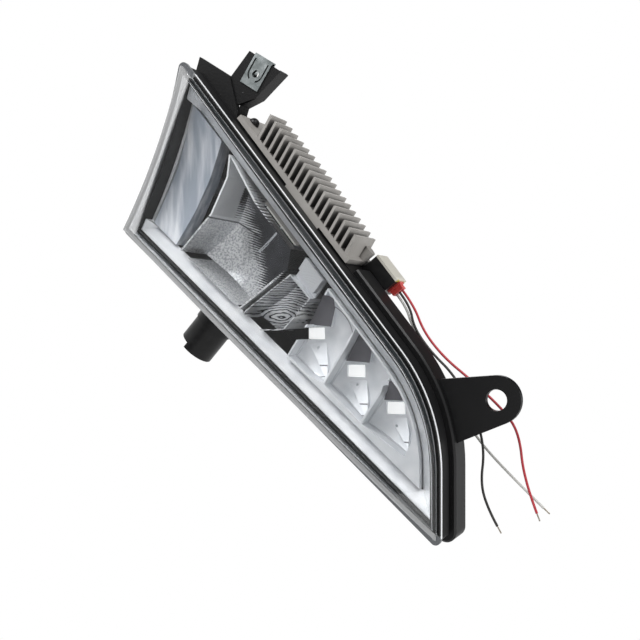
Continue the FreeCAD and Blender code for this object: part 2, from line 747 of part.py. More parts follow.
def build_reflectors():
    limit = prism("inner_limit", outline("inner_inset"), "rim_plane - 5", INNER_BACK)
    build_main_reflector(limit)
    build_lobe_reflector(limit)
    build_side_trim()
    build_cup_tray()


def build_lights():
    leds = [box("lamp_%d" % i, x + " - light_wide / 2", "light_face", z + " - light_high / 2",
                "light_wide", "tray_back - light_face", "light_high") for i, (x, z) in enumerate(lamp_spots)]
    keep("drl_leds", group("lamp_group", leds))
    plates = [box("lamp_board_%d" % i, x + " - light_wide / 2 - 2", "tray_back", z + " - light_high / 2 - 3",
                  "light_wide + 4", "board_thick", "light_high + 6") for i, (x, z) in enumerate(lamp_spots)]
    keep("drl_led_boards", group("lamp_boards", plates))
    board_group = group("main_board_group", [box(
        "main_board", "pad_start + 2", "fin_front + 2", "0 - pad_high - board_thick", "pad_long - 4",
        "pad_deep - 6", "board_thick")])
    on_edge(board_group, *UPPER)
    keep("main_led_board", board_group)
    chips = group("main_chips", [
        box("main_chip_%d" % i, "pad_start + %d" % (9 + 8 * i), "fin_front + 8",
            "0 - pad_high - board_thick - 1.2", "5", "5", "1.2") for i in range(3)])
    on_edge(chips, *UPPER)
    keep("main_leds", chips)


def build_heat_sink():
    fins = []
    for i in range(18):
        fin = made("Box", "fin_%d" % i)
        fin.Placement.Rotation = FreeCAD.Rotation(Vector(0, 1, 0), -20)
        bind(fin, "Placement.Rotation.Angle", "fin_lean")
        fin.Placement.Rotation.Axis = Vector(0, -1, 0)
        bind(fin, "Length", "fin_thick")
        bind(fin, "Width", "min(fin_deep ; fin_short + %d * 1.7 )" % i)
        bind(fin, "Height", "fin_high + 2 - fin_drop * %d" % i)
        put(fin, "first_fin + fin_pitch * %d + 2 * sin(fin_lean * 1 deg )" % i, "fin_front",
            "plate_thick - 2")
        fins.append(fin)
    plate = box("plate", "plate_start", "fin_front", "0", "plate_long", "plate_deep", "plate_thick")
    pad = box("pad", "pad_start", "fin_front", "0 - pad_high", "pad_long", "pad_deep", "pad_high + 1")
    boss = upright("end_boss", "9", "plate_start + plate_long - 4", "fin_front + 30", "0", "plate_thick + 8")
    solid = fuse("sink_solid", [plate, pad, boss] + fins)
    holes = fuse("sink_holes", [
        upright("sink_hole_%s" % name, "screw_wide + 0.4", name + "_screw_along", name + "_screw_deep",
                "0 - 2", "plate_thick + 2")
        for name in ("first", "second")])
    sink = cut("sink_body", solid, holes)
    on_edge(sink, *UPPER)
    keep("heat_sink", sink)

    sheet_pad = box("gasket_block", "plate_start", "collar_back", "0 - seat_gap", "plate_long",
                    "plate_deep - 6", "seat_gap")
    opening = fuse("gasket_holes", [
        box("gasket_open", "pad_start - pad_play", "fin_front - 5", "0 - 3", "pad_long + 2 * pad_play",
            "pad_deep + 5 + pad_play", "6"),
        upright("gasket_hole_a", "screw_wide + 0.4", "first_screw_along", "first_screw_deep", "0 - 4", "4"),
        upright("gasket_hole_b", "screw_wide + 0.4", "second_screw_along", "second_screw_deep",
                "0 - 4", "4")])
    gasket = cut("gasket_body", sheet_pad, opening)
    on_edge(gasket, *UPPER)
    keep("heat_sink_gasket", gasket)

    bits = []
    for name in ("first", "second"):
        along = name + "_screw_along"
        deep = name + "_screw_deep"
        bits.append(upright("plate_shank_" + name, "screw_wide", along, deep, "0 - 7", "plate_thick + 1"))
        head = made("Sphere", "plate_head_" + name)
        bind(head, "Radius", "screw_head / 2")
        head.Angle1 = 0
        put(head, along, deep, "plate_thick")
        bits.append(head)
    screws = fuse("plate_screws", bits)
    on_edge(screws, *UPPER)
    keep("heat_sink_screws", screws)


DRIVER = "plate_start + plate_long + driver_gap"


def build_driver():
    cases = group("driver_group", [box(
        "driver_block", DRIVER, "driver_front", "0 - seat_gap", "driver_long", "driver_deep", "driver_high")])
    on_edge(cases, *UPPER)
    keep("driver_case", cases)
    plates = group("driver_tops", [box(
        "driver_top", DRIVER, "driver_front", "driver_high - seat_gap", "driver_long", "driver_deep",
        "driver_plate_thick")])
    on_edge(plates, *UPPER)
    keep("driver_plate", plates)
    seals = fuse("seal_group", [
        box("seal_block", DRIVER + " + driver_long", "driver_front + ( driver_deep - seal_deep ) / 2",
            "driver_high / 3 - seat_gap",
            "seal_long", "seal_deep", "seal_high - 1"),
        box("seal_lip", DRIVER + " + driver_long", "driver_front + ( driver_deep - seal_deep ) / 2 - 1",
            "driver_high / 3 - seat_gap - 1",
            "1.5", "seal_deep + 2", "seal_high + 1")])
    on_edge(seals, *UPPER)
    keep("wire_seal", seals)


WIRES = {
    "red_wire": [(-70.33, 30, 69.96), (-62.29, 30, 59.74), (-55, 28.5, 42), (-40, 25, 25), (-20, 22, 10),
                 (1, 19, -8), (11, 17, -22), (14, 16, -50), (24, 16, -76)],
    "black_wire": [(-72.22, 30, 68.47), (-64.8, 30, 59.04), (-62, 29, 45), (-50, 27, 29), (-32, 24, 13),
                   (-17, 21, -14), (-11.5, 18, -34), (-13.8, 16.5, -55), (-8.6, 16, -71), (-0.3, 16, -85.5)],
    "white_wire": [(-74.1, 30, 66.99), (-67.3, 30, 58.35), (-64, 30.5, 46), (-48.5, 29, 25), (-34, 27.5, -2),
                   (-19, 25.5, -26.5), (4.5, 23, -50), (29.3, 21, -72)]}


def wire_path(points):
    """Straight runs joined by arcs that touch both of their runs."""
    points = [Vector(*p) for p in points]
    edges = []
    radii = []
    last = points[0]
    for before, here, after in zip(points, points[1:], points[2:]):
        into = here - before
        out = after - here
        reach = 0.45 * min(into.Length, out.Length)
        half = into.getAngle(out) / 2
        radius = reach / math.tan(half)
        into.normalize()
        out.normalize()
        start = here - into * reach
        stop = here + out * reach
        inward = out - into
        inward.normalize()
        middle = here + inward * (radius / math.cos(half) - radius)
        edges.append(Part.LineSegment(last, start).toShape())
        edges.append(Part.Arc(start, middle, stop).toShape())
        radii.append(radius)
        last = stop
    edges.append(Part.LineSegment(last, points[-1]).toShape())
    return Part.Wire(edges), radii


def build_wires():
    for name, points in WIRES.items():
        path, radii = wire_path(points)
        spine = doc.addObject("Part::Feature", name + "_path")
        spine.Shape = path.translated(Vector(*points[0]) * -1)
        ring = made("Circle", name + "_ring")
        bind(ring, "Radius", "wire_wide / 2")
        ahead = Vector(*points[1]) - Vector(*points[0])
        ring.Placement = FreeCAD.Placement(Vector(0, 0, 0), FreeCAD.Rotation(Vector(0, 0, 1), ahead))
        tube = made("Sweep", name + "_tube")
        tube.Sections = [ring]
        tube.Spine = (spine, ["Edge%d" % (i + 1) for i in range(len(path.Edges))])
        tube.Solid = True
        tube.Frenet = False
        high = "driver_high / 3 - seat_gap + %s_exit" % name
        end = DRIVER + " + driver_long + seal_long"
        along = "( %s ) * cos(upper_slope * 1 deg ) + ( %s ) * sin(upper_slope * 1 deg )" % (end, high)
        rise = "( %s ) * cos(upper_slope * 1 deg ) - ( %s ) * sin(upper_slope * 1 deg )" % (high, end)
        put(tube, UPPER[1] + " + " + along, "driver_front + driver_deep / 2", UPPER[3] + " + " + rise)
        keep(name, tube)
        doc.recompute()
        whole = math.pi * (values["wire_wide"] / 2) ** 2 * path.Length
        print("%s length %.1f smallest radius %.1f volume %.1f of %.1f"
              % (name, path.Length, min(radii), tube.Shape.Volume, whole))


def build_nut():
    thick = "tab_thick + 2 * nut_leaf"
    block = box("nut_block", "0 - nut_wide / 2", "0 - nut_leaf", "nut_reach - nut_long", "nut_wide", thick,
                "nut_long")
    slot = box("nut_slot", "0 - nut_wide", "0", "0 - nut_long", "nut_wide * 2", "tab_thick",
               "nut_long + nut_reach - nut_leaf")
    barrel = rod("nut_thread", "nut_barrel", "0", "0", "tab_thick + nut_leaf / 2",
                 "tab_thick + nut_barrel_high")
    hole = rod("nut_drill", "nut_hole", "0", "0", "0 - 5", "tab_thick + nut_barrel_high + 5")
    curl = cut("nut_curl", rod("nut_curl_out", "nut_slit_wide + 2 * nut_slit", "0", "0", "0 - 5", "1"),
               rod("nut_curl_in", "nut_slit_wide", "0", "0", "0 - 6", "2"))
    slits = [common("nut_curls", [curl, group("nut_curl_ends", [
        box("nut_curl_%d" % i, "%d * 5 - 2.5" % side, "0 - 5", "0 - 6", "5", "6", "6")
        for i, side in enumerate((-1, 1))])])]
    for i, side in enumerate((-1, 1)):
        slits.append(box("nut_slit_%d" % i, "%d * ( nut_slit_wide / 2 + nut_slit / 2 ) - nut_slit / 2" % side,
                         "0 - 5", "0", "nut_slit", "6", "nut_reach - 3"))
    leaf = cut("nut_strip", block, fuse("nut_openings", [slot] + slits))
    nut = cut("nut_body", fuse("nut_solid", [leaf, barrel]), hole)
    on_edge(nut, *NUT)
    keep("u_nut", nut)


def build_socket():
    wall_out = "0 - shell_inset"
    neck = upright("socket_neck_bar", "socket_neck", "0", "0", "0 - shell_inset - wall - 3",
                   "collar_high - shell_inset")
    body = upright("socket_bar", "socket_wide", "0", "0", "collar_high - shell_inset", "socket_long")
    step = box("socket_step", "3", "0 - 20", "socket_long - 4", "20", "40", "6")
    recess = upright("socket_key", "key_wide", "0 - 6", "0 - 2", "socket_long - key_deep", "socket_long + 5")
    plug = cut("socket_plug", fuse("socket_solid", [neck, body]), fuse("socket_cuts", [step, recess]))
    on_edge(plug, *LOWER)
    keep("socket_body", plug)
    bar = upright("collar_bar", "collar_wide", "0", "0", wall_out, "collar_high - shell_inset")
    ring = cut("collar_ring", bar, upright("collar_bore", "socket_neck + 0.2", "0", "0", "0 - 30", "40"))
    on_edge(ring, *LOWER)
    keep("socket_collar", ring)
    pins = group("socket_pin_group", [
        upright("socket_pin_%d" % i, "pin_wide", "0 - 6 + ( %d )" % dx, "0 - 2 + ( %d )" % dy,
                "socket_long - key_deep", "socket_long - 4")
        for i, (dx, dy) in enumerate(((-2, 0), (2, 0), (0, 3)))])
    on_edge(pins, *LOWER)
    keep("socket_pins", pins)


def build_back():
    cap = rod("vent_cap_bar", "vent_wide", "vent_across", "vent_up", "back_face", "back_face + vent_high")
    stem = rod("vent_stem", "vent_wide / 2 - 0.2", "vent_across", "vent_up", "back_face - wall",
               "back_face + 1")
    keep("vent_cap", fuse("vent_body", [cap, stem]))
    bits = []
    for i, (x, z) in enumerate(screw_spots):
        bits.append(rod("back_shank_%d" % i, "screw_wide", x, z, "back_face - wall - 8", "back_face + 1"))
        bits.append(rod("back_head_%d" % i, "screw_head", x, z, "back_face", "back_face + screw_head_high"))
    keep("reflector_screws", fuse("back_screws", bits))


def write_parts():
    doc.recompute()
    for item in doc.Objects:
        if "Invalid" in item.State or "Error" in item.State:
            raise RuntimeError("%s did not build: %s" % (item.Name, item.State))
    os.makedirs("parts", exist_ok=True)
    for item in parts:
        shape = item.Shape
        if shape.isNull() or not shape.isValid():
            raise RuntimeError("%s has no valid shape" % item.Label)
        shape.exportStep("parts/%s.step" % item.Label)
        print("%-18s solids %d volume %.0f" % (item.Label, len(shape.Solids), shape.Volume))


build_lens()
build_housing()
build_trim_frame()
build_reflectors()
build_lights()
build_heat_sink()
build_driver()
build_wires()
build_nut()
build_socket()
build_back()
write_parts()
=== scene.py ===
import math

import bmesh
import bpy
from bpy.props import FloatProperty, FloatVectorProperty, PointerProperty
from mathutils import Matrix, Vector


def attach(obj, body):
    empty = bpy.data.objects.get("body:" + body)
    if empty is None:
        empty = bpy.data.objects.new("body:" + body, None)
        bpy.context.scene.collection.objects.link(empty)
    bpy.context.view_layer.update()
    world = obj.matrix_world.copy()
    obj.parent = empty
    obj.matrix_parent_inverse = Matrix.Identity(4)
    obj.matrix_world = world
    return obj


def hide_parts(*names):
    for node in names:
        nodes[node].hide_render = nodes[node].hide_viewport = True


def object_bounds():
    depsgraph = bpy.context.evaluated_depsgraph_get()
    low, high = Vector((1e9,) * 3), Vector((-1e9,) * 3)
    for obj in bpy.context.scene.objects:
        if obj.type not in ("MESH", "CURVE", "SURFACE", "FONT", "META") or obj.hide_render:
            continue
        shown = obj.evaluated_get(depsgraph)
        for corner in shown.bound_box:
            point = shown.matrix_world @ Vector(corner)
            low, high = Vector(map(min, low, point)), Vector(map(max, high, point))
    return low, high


bl_info = {
    "name": "Truck spotlight",
    "version": (1, 0, 0),
    "blender": (4, 5, 0),
    "location": "3D View > Sidebar > Spotlight",
    "description": "Gives the spotlight's solids their finishes and adds its wires and small details",
    "category": "Object",
}

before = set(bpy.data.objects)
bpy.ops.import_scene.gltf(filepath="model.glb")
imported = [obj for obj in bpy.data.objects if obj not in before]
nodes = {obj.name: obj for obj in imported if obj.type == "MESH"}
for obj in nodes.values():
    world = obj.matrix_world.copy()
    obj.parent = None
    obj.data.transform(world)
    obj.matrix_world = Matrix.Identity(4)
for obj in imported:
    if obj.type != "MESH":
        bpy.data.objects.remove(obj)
CAD_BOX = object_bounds()

# The wires' routes in metres, the same points that the solids follow.
WIRE_ROUTES = {
    "red_wire": [
        (-0.07033, 0.030, 0.06996), (-0.06229, 0.030, 0.05974), (-0.055, 0.0285, 0.042),
        (-0.040, 0.025, 0.025), (-0.020, 0.022, 0.010), (0.001, 0.019, -0.008), (0.011, 0.017, -0.022),
        (0.014, 0.016, -0.050), (0.024, 0.016, -0.076)],
    "black_wire": [
        (-0.07222, 0.030, 0.06847), (-0.0648, 0.030, 0.05904), (-0.062, 0.029, 0.045),
        (-0.050, 0.027, 0.029), (-0.032, 0.024, 0.013), (-0.017, 0.021, -0.014), (-0.0115, 0.018, -0.034),
        (-0.0138, 0.0165, -0.055), (-0.0086, 0.016, -0.071), (-0.0003, 0.016, -0.0855)],
    "white_wire": [
        (-0.0741, 0.030, 0.06699), (-0.0673, 0.030, 0.05835), (-0.064, 0.0305, 0.046),
        (-0.0485, 0.029, 0.025), (-0.034, 0.0275, -0.002), (-0.019, 0.0255, -0.0265),
        (0.0045, 0.023, -0.050), (0.0293, 0.021, -0.072)],
}
# Each bare end has this many strands, drawn through this many spots, as wide as this share of the wire.
STRANDS = 7
STRAND_SPOTS = 5
STRAND_SHARE = 0.2
# The strands turn this many degrees from spot to spot.
STRAND_TWIST = 35
# They start this share of the bare length inside the sleeve.
STRAND_TUCK = 0.16

# Lines of the front view in metres: a spot on each, as X and Z, and the way that the line faces.
LENS_LOWER_EDGE = ((-0.2455, 0.111), (-0.6699, -0.7424))
LENS_LEFT_EDGE = ((-0.2455, 0.111), (-0.9323, 0.3616))
BOWL_SEAM = ((-0.1716, 0.107), (-0.5563, -0.831))
BOWL_DARK_SIDE = ((-0.1887, 0.1421), (0.9626, 0.2709))
RIDGE_ACROSS = ((-0.162, 0.1085), (-0.664, 0.748))
RIDGE_ALONG = ((-0.163, 0.1076), (0.748, 0.664))
LOBE_EDGE = ((-0.118, 0.062), (0.753, 0.658))
# Widths in metres: the lens's hazy land at two edges, and half the bowl's seam line and of the painted
# highlight on the ridge edge.
LAND_LOWER = 0.0029
LAND_LEFT = 0.010
SEAM_HALF = 0.0008
RIDGE_HALF = 0.0009
RIDGE_HALF_LENGTH = 0.0156
# Depths in metres along Y, from the front face of the ear.
SKIRT_BAND_END = -0.036
FLANGE_FRONT = -0.030
FLANGE_BACK = -0.027
HOOD_FACE = -0.008
DIMPLE_FLOOR = 0.001
STEP_WALL_FRONT = 0.004
STEP_WALL_BACK = 0.012
# Heights in metres along Z, between which the housing's gloss turns to grain and the resin loses its yellow.
ARM_FOOT = 0.165
ARM_TOP = 0.185
RESIN_YELLOW_END = 0.075
RESIN_GREY_START = 0.083

# The camera that was fitted to the photo, and the floor, in metres, with the turn in degrees.
CAMERA_SPOT = (0.1430, -0.6454, 0.0498)
CAMERA_TURN = 22
CAMERA_LENS_MM = 59.18
LAMP_MIDDLE = (-0.11, 0.0, 0.06)
FLOOR_DROP = 0.3
FLOOR_RADIUS = 0.6


def linear(text):
    """A colour written as sRGB hex, as linear values with full alpha."""
    levels = [int(text[i:i + 2], 16) / 255 for i in (1, 3, 5)]
    return (*[v / 12.92 if v <= 0.04045 else ((v + 0.055) / 1.055) ** 2.4 for v in levels], 1.0)


def per(size_mm):
    """The texture scale that makes one feature of the pattern this many millimetres wide."""
    return 1000 / size_mm


def per_wave(size_mm):
    """The wave texture's scale that sets its bands this many millimetres apart."""
    return per(size_mm) * math.pi / 10


def add(tree, kind, inputs=(), stops=(), **settings):
    """Adds one node: its settings, its ramp stops, and a value or a link for each input."""
    item = tree.nodes.new("ShaderNode" + kind)
    for name, value in settings.items():
        setattr(item, name, value)
    for place, (spot, colour) in enumerate(stops):
        ramp = item.color_ramp
        stop = ramp.elements[place] if place < 2 else ramp.elements.new(spot)
        stop.position = spot
        stop.color = colour
    for name, value in dict(inputs).items():
        socket = item.inputs[name]
        if isinstance(value, bpy.types.NodeSocket):
            tree.links.new(value, socket)
        else:
            socket.default_value = value
    return item


def start(name):
    """A new material with an empty tree, and the place of each point in metres."""
    material = bpy.data.materials.new(name)
    material.use_nodes = True
    tree = material.node_tree
    tree.nodes.clear()
    return material, tree, add(tree, "TexCoord").outputs["Object"]


def end(tree, shader):
    """Closes a material's tree with this shader."""
    add(tree, "OutputMaterial", {"Surface": shader.outputs[0]})


def wear(node, material):
    """Gives a solid of the frame its finish."""
    node = nodes[node]
    node.data.materials.clear()
    node.data.materials.append(material)


def grey(level):
    """A neutral linear grey with full alpha."""
    return (level, level, level, 1.0)


def beyond(tree, place, line):
    """How far each point lies beyond a line of the front view, in metres."""
    spot, ahead = line
    reach = add(tree, "VectorMath", {
        0: place, 1: (ahead[0], 0.0, ahead[1])}, operation="DOT_PRODUCT").outputs["Value"]
    start_reach = spot[0] * ahead[0] + spot[1] * ahead[1]
    return add(tree, "Math", {0: reach, 1: start_reach}, operation="SUBTRACT").outputs["Value"]


def fade(tree, value, low, high):
    """Nought at the first value and one at the second."""
    return add(tree, "MapRange", {"Value": value, "From Min": low, "From Max": high}).outputs["Result"]


def seen(tree):
    """One for light that reaches the eye from here directly, through the lens or off a glossy face."""
    path = add(tree, "LightPath")
    direct = add(tree, "Math", {
        0: path.outputs["Is Camera Ray"], 1: path.outputs["Is Transmission Ray"]}, operation="MAXIMUM")
    return add(tree, "Math", {
        0: direct.outputs["Value"], 1: path.outputs["Is Glossy Ray"]}, operation="MAXIMUM").outputs["Value"]


class SpotColours(bpy.types.PropertyGroup):
    """Colours that a user would change."""

    red: FloatVectorProperty(
        name="Red wire", description="Insulation of the feed wire", subtype="COLOR", size=4,
        min=0, max=1, default=linear("#b0303a"))
    black: FloatVectorProperty(
        name="Black wire", description="Insulation of the return wire", subtype="COLOR", size=4,
        min=0, max=1, default=linear("#2a2826"))
    white: FloatVectorProperty(
        name="White wire", description="Insulation of the signal wire", subtype="COLOR", size=4,
        min=0, max=1, default=linear("#c8c8c4"))
    moulding: FloatVectorProperty(
        name="Housing", description="Black of the moulded housing", subtype="COLOR", size=4,
        min=0, max=1, default=linear("#0e0e0f"))
    casting: FloatVectorProperty(
        name="Heat sink", description="Grey of the die casting", subtype="COLOR", size=4,
        min=0, max=1, default=linear("#aaa7a3"))


class SpotSizes(bpy.types.PropertyGroup):
    """Sizes that a user would change, in metres."""

    wire: FloatProperty(
        name="Wire", description="Outside width of each wire", unit="LENGTH", default=0.0017, min=0.0005)
    bare: FloatProperty(
        name="Bare end", description="Length of stripped conductor", unit="LENGTH", default=0.005, min=0.0)
    studio: FloatProperty(
        name="Studio", description="Distance of the lamps from the spotlight", unit="LENGTH",
        default=1.0, min=0.2)


def black_polypropylene(colours):
    """Injection-moulded polypropylene: gloss on the rail, a fine spark-eroded grain on the arm and tab."""
    material, tree, place = start("black_moulded_polypropylene")
    up = add(tree, "SeparateXYZ", {"Vector": place}).outputs["Z"]
    arm = fade(tree, up, ARM_FOOT, ARM_TOP)
    cloud = add(tree, "TexNoise", {"Vector": place, "Scale": per(14), "Detail": 4}).outputs["Fac"]
    colour = add(tree, "ValToRGB", {"Fac": cloud}, [(0.3, colours.moulding), (0.75, linear("#0f0f10"))])
    gloss = add(tree, "MapRange", {"Value": cloud, "To Min": 0.24, "To Max": 0.36}).outputs["Result"]
    # Faces that look to the right are drawn as dull as the arm.
    facing = add(tree, "SeparateXYZ", {"Vector": add(tree, "NewGeometry").outputs["Normal"]}).outputs["X"]
    picked_faces = add(tree, "Math", {0: arm, 1: fade(tree, facing, 0.5, 0.8)}, operation="MAXIMUM").outputs["Value"]
    rough = add(tree, "MixRGB", {"Fac": picked_faces, "Color1": gloss, "Color2": grey(0.5)}).outputs["Color"]
    # The grain is about 0.3 mm on the real moulding; 0.9 mm is as coarse as it needs to show.
    grain = add(tree, "TexNoise", {"Vector": place, "Scale": per(0.9), "Detail": 2}).outputs["Fac"]
    grain = add(tree, "Math", {0: grain, 1: arm}, operation="MULTIPLY").outputs["Value"]
    bump = add(tree, "Bump", {"Height": grain, "Strength": 0.35, "Distance": 0.0004}).outputs["Normal"]
    end(tree, add(tree, "BsdfPrincipled", {
        "Base Color": colour.outputs["Color"], "Roughness": rough, "Normal": bump, "IOR": 1.33}))
    return material


def clear_polycarbonate():
    """Moulded polycarbonate with a hard coat: clear, with a hazy land, a skirt painted dark as a reflection
    of the housing and a rim painted pale as a highlight.
    """
    material, tree, place = start("hard_coated_polycarbonate")
    depth = add(tree, "SeparateXYZ", {"Vector": place}).outputs["Y"]
    flange = fade(tree, depth, FLANGE_FRONT - 0.0006, FLANGE_FRONT - 0.0001)
    # The hazy land follows the lower and the left edge.
    lower = fade(tree, beyond(tree, place, LENS_LOWER_EDGE), -LAND_LOWER, 0.0004 - LAND_LOWER)
    left = fade(tree, beyond(tree, place, LENS_LEFT_EDGE), -LAND_LEFT, 0.001 - LAND_LEFT)
    land = add(tree, "Math", {0: lower, 1: left}, operation="MAXIMUM").outputs["Value"]
    bare = fade(tree, land, 1.0, 0.0)
    surface = add(tree, "NewGeometry")
    facing = add(tree, "SeparateXYZ", {"Vector": surface.outputs["Normal"]}).outputs["Y"]
    facing = add(tree, "Math", {0: facing}, operation="ABSOLUTE").outputs["Value"]
    side = fade(tree, facing, 0.5, 0.2)
    rim = add(tree, "Math", {0: land, 1: side}, operation="MAXIMUM").outputs["Value"]
    rim = add(tree, "Math", {0: rim, 1: flange}, operation="MULTIPLY").outputs["Value"]
    # The skirt is drawn dark, as if it mirrored the housing: its front 4 mm at the land, and its
    # outer wall elsewhere.
    outer = fade(tree, surface.outputs["Backfacing"], 1.0, 0.0)
    outer = add(tree, "Math", {0: outer, 1: bare}, operation="MULTIPLY").outputs["Value"]
    wall = fade(tree, depth, FLANGE_FRONT - 0.0002, FLANGE_FRONT - 0.0006)
    outer = add(tree, "Math", {0: outer, 1: wall}, operation="MULTIPLY").outputs["Value"]
    front = fade(tree, depth, SKIRT_BAND_END + 0.0004, SKIRT_BAND_END - 0.0002)
    band = add(tree, "Math", {0: front, 1: land}, operation="MULTIPLY").outputs["Value"]
    band = add(tree, "Math", {0: band, 1: 0.85, 2: outer}, operation="MULTIPLY_ADD").outputs["Value"]
    band = add(tree, "Math", {0: band, 1: side}, operation="MULTIPLY").outputs["Value"]
    # The flange's rim is painted pale away from the land, as a highlight on its side walls.
    pale = add(tree, "Math", {0: side, 1: flange}, operation="MULTIPLY").outputs["Value"]
    pale = add(tree, "Math", {0: pale, 1: bare}, operation="MULTIPLY").outputs["Value"]
    ahead = fade(tree, depth, FLANGE_BACK + 0.0008, FLANGE_BACK + 0.0002)
    pale = add(tree, "Math", {0: pale, 1: ahead}, operation="MULTIPLY").outputs["Value"]
    skirt = add(tree, "Math", {0: land, 1: 0.3}, operation="MULTIPLY").outputs["Value"]
    frost = add(tree, "Math", {0: rim, 1: skirt}, operation="MAXIMUM").outputs["Value"]
    frost = add(tree, "Math", {0: frost, 1: band}, operation="MAXIMUM").outputs["Value"]
    haze = add(tree, "TexNoise", {"Vector": place, "Scale": per(30), "Detail": 3}).outputs["Fac"]
    gloss = add(tree, "MapRange", {"Value": haze, "To Min": 0.0, "To Max": 0.02}).outputs["Result"]
    rough = add(tree, "MixRGB", {"Fac": frost, "Color1": gloss, "Color2": grey(0.3)}).outputs["Color"]
    colour = add(tree, "ValToRGB", {"Fac": rim}, [(0.0, linear("#fbfcfd")), (1.0, linear("#5a5c5f"))])
    colour = add(tree, "MixRGB", {
        "Fac": band, "Color1": colour.outputs["Color"], "Color2": linear("#23272a")})
    colour = add(tree, "MixRGB", {
        "Fac": pale, "Color1": colour.outputs["Color"], "Color2": linear("#eef0f2")})
    clear = fade(tree, frost, 1.0, 0.0)
    gleam = add(tree, "MapRange", {"Value": band, "To Min": 0.5, "To Max": 0.08}).outputs["Result"]
    # Most of the light for the pieces inside passes straight through the thin shell.
    shade = add(tree, "LightPath").outputs["Is Shadow Ray"]
    solid = add(tree, "MapRange", {"Value": shade, "To Min": 1.0, "To Max": 0.12}).outputs["Result"]
    end(tree, add(tree, "BsdfPrincipled", {
        "Base Color": colour.outputs["Color"], "Roughness": rough, "IOR": 1.58, "Transmission Weight": clear,
        "Specular IOR Level": gleam, "Alpha": solid}))
    return material


def butyl_bead():
    """Butyl sealant laid hot in the groove: matt black with a slightly lumpy skin."""
    material, tree, place = start("black_butyl_sealant")
    lump = add(tree, "TexNoise", {"Vector": place, "Scale": per(5), "Detail": 3}).outputs["Fac"]
    colour = add(tree, "ValToRGB", {"Fac": lump}, [(0.3, linear("#0c0c0c")), (0.7, linear("#1c1b1a"))])
    bump = add(tree, "Bump", {"Height": lump, "Strength": 0.4, "Distance": 0.0005}).outputs["Normal"]
    end(tree, add(tree, "BsdfPrincipled", {
        "Base Color": colour.outputs["Color"], "Roughness": 0.7, "Normal": bump}))
    return material


def faceted_silver():
    """The silvered bowl: a smooth upper facet, a stippled lower one, and a right side painted dark as a
    reflection of the housing.
    """
    material, tree, place = start("silvered_stippled_bowl")
    seam = beyond(tree, place, BOWL_SEAM)
    below = fade(tree, seam, -0.0002, 0.0002)
    seam = add(tree, "Math", {0: seam}, operation="ABSOLUTE").outputs["Value"]
    seam = fade(tree, seam, SEAM_HALF, SEAM_HALF / 2)
    right = beyond(tree, place, BOWL_DARK_SIDE)
    # Fine flutes, about 1.6 mm apart, comb the border of the painted dark reflection.
    turned = add(tree, "Mapping", {
        "Vector": place, "Rotation": (0.0, math.radians(-20), 0.0)}).outputs["Vector"]
    comb = add(tree, "TexWave", {
        "Vector": turned, "Scale": per_wave(1.6), "Distortion": 1.5}, bands_direction="Z").outputs["Fac"]
    drift = add(tree, "TexNoise", {"Vector": place, "Scale": per(10), "Detail": 3}).outputs["Fac"]
    edge = add(tree, "Math", {0: comb, 1: 0.007, 2: right}, operation="MULTIPLY_ADD").outputs["Value"]
    edge = add(tree, "Math", {0: drift, 1: 0.014, 2: edge}, operation="MULTIPLY_ADD").outputs["Value"]
    # The step's wall stands forward of the dark side and stays pale, outside the painted reflection.
    depth = add(tree, "SeparateXYZ", {"Vector": place}).outputs["Y"]
    wall = fade(tree, depth, STEP_WALL_BACK, STEP_WALL_FRONT)
    edge = add(tree, "Math", {0: wall, 1: -0.03, 2: edge}, operation="MULTIPLY_ADD").outputs["Value"]
    dark = fade(tree, edge, 0.009, 0.015)
    # Stipple cells of about 0.8 mm are drawn 1.3 mm wide, as coarse as they need to show.
    cells = add(tree, "TexNoise", {"Vector": place, "Scale": per(1.3), "Detail": 2}).outputs["Fac"]
    speck = add(tree, "ValToRGB", {"Fac": cells}, [(0.38, linear("#b4b6b9")), (0.6, linear("#f4f5f6"))])
    smooth = add(tree, "ValToRGB", {"Fac": drift}, [(0.3, linear("#e6e8ea")), (0.7, linear("#f3f4f5"))])
    pale = add(tree, "MixRGB", {
        "Fac": below, "Color1": smooth.outputs["Color"], "Color2": speck.outputs["Color"]}).outputs["Color"]
    # The dark side's colour is a painted reflection of the housing.
    shade = add(tree, "ValToRGB", {"Fac": drift}, [(0.3, linear("#3c3d41")), (0.75, linear("#58595e"))])
    pale = add(tree, "MixRGB", {"Fac": seam, "Color1": pale, "Color2": linear("#505156")}).outputs["Color"]
    colour = add(tree, "MixRGB", {
        "Fac": dark, "Color1": pale, "Color2": shade.outputs["Color"]}).outputs["Color"]
    # The thin ridge has a painted highlight along its edge, about 1.4 mm wide and 30 mm long, across the
    # dark side.
    off = add(tree, "Math", {0: beyond(tree, place, RIDGE_ACROSS)}, operation="ABSOLUTE").outputs["Value"]
    along = add(tree, "Math", {0: beyond(tree, place, RIDGE_ALONG)}, operation="ABSOLUTE").outputs["Value"]
    across = fade(tree, off, RIDGE_HALF, RIDGE_HALF - 0.0004)
    along = fade(tree, along, RIDGE_HALF_LENGTH, RIDGE_HALF_LENGTH - 0.001)
    ridge_highlight = add(tree, "Math", {0: across, 1: along}, operation="MULTIPLY").outputs["Value"]
    colour = add(tree, "MixRGB", {
        "Fac": ridge_highlight, "Color1": colour, "Color2": linear("#eceef0")}).outputs["Color"]
    shine = add(tree, "MapRange", {"Value": below, "To Min": 0.1, "To Max": 0.4}).outputs["Result"]
    shine = add(tree, "MapRange", {"Value": dark, "To Min": shine, "To Max": 0.85}).outputs["Result"]
    plain = fade(tree, dark, 1.0, 0.0)
    relief = add(tree, "Math", {0: cells, 1: below}, operation="MULTIPLY").outputs["Value"]
    relief = add(tree, "Math", {0: relief, 1: plain}, operation="MULTIPLY").outputs["Value"]
    bump = add(tree, "Bump", {"Height": relief, "Strength": 0.2, "Distance": 0.0003}).outputs["Normal"]
    end(tree, add(tree, "BsdfPrincipled", {
        "Base Color": colour, "Metallic": shine, "Roughness": 0.2, "Normal": bump}))
    return material


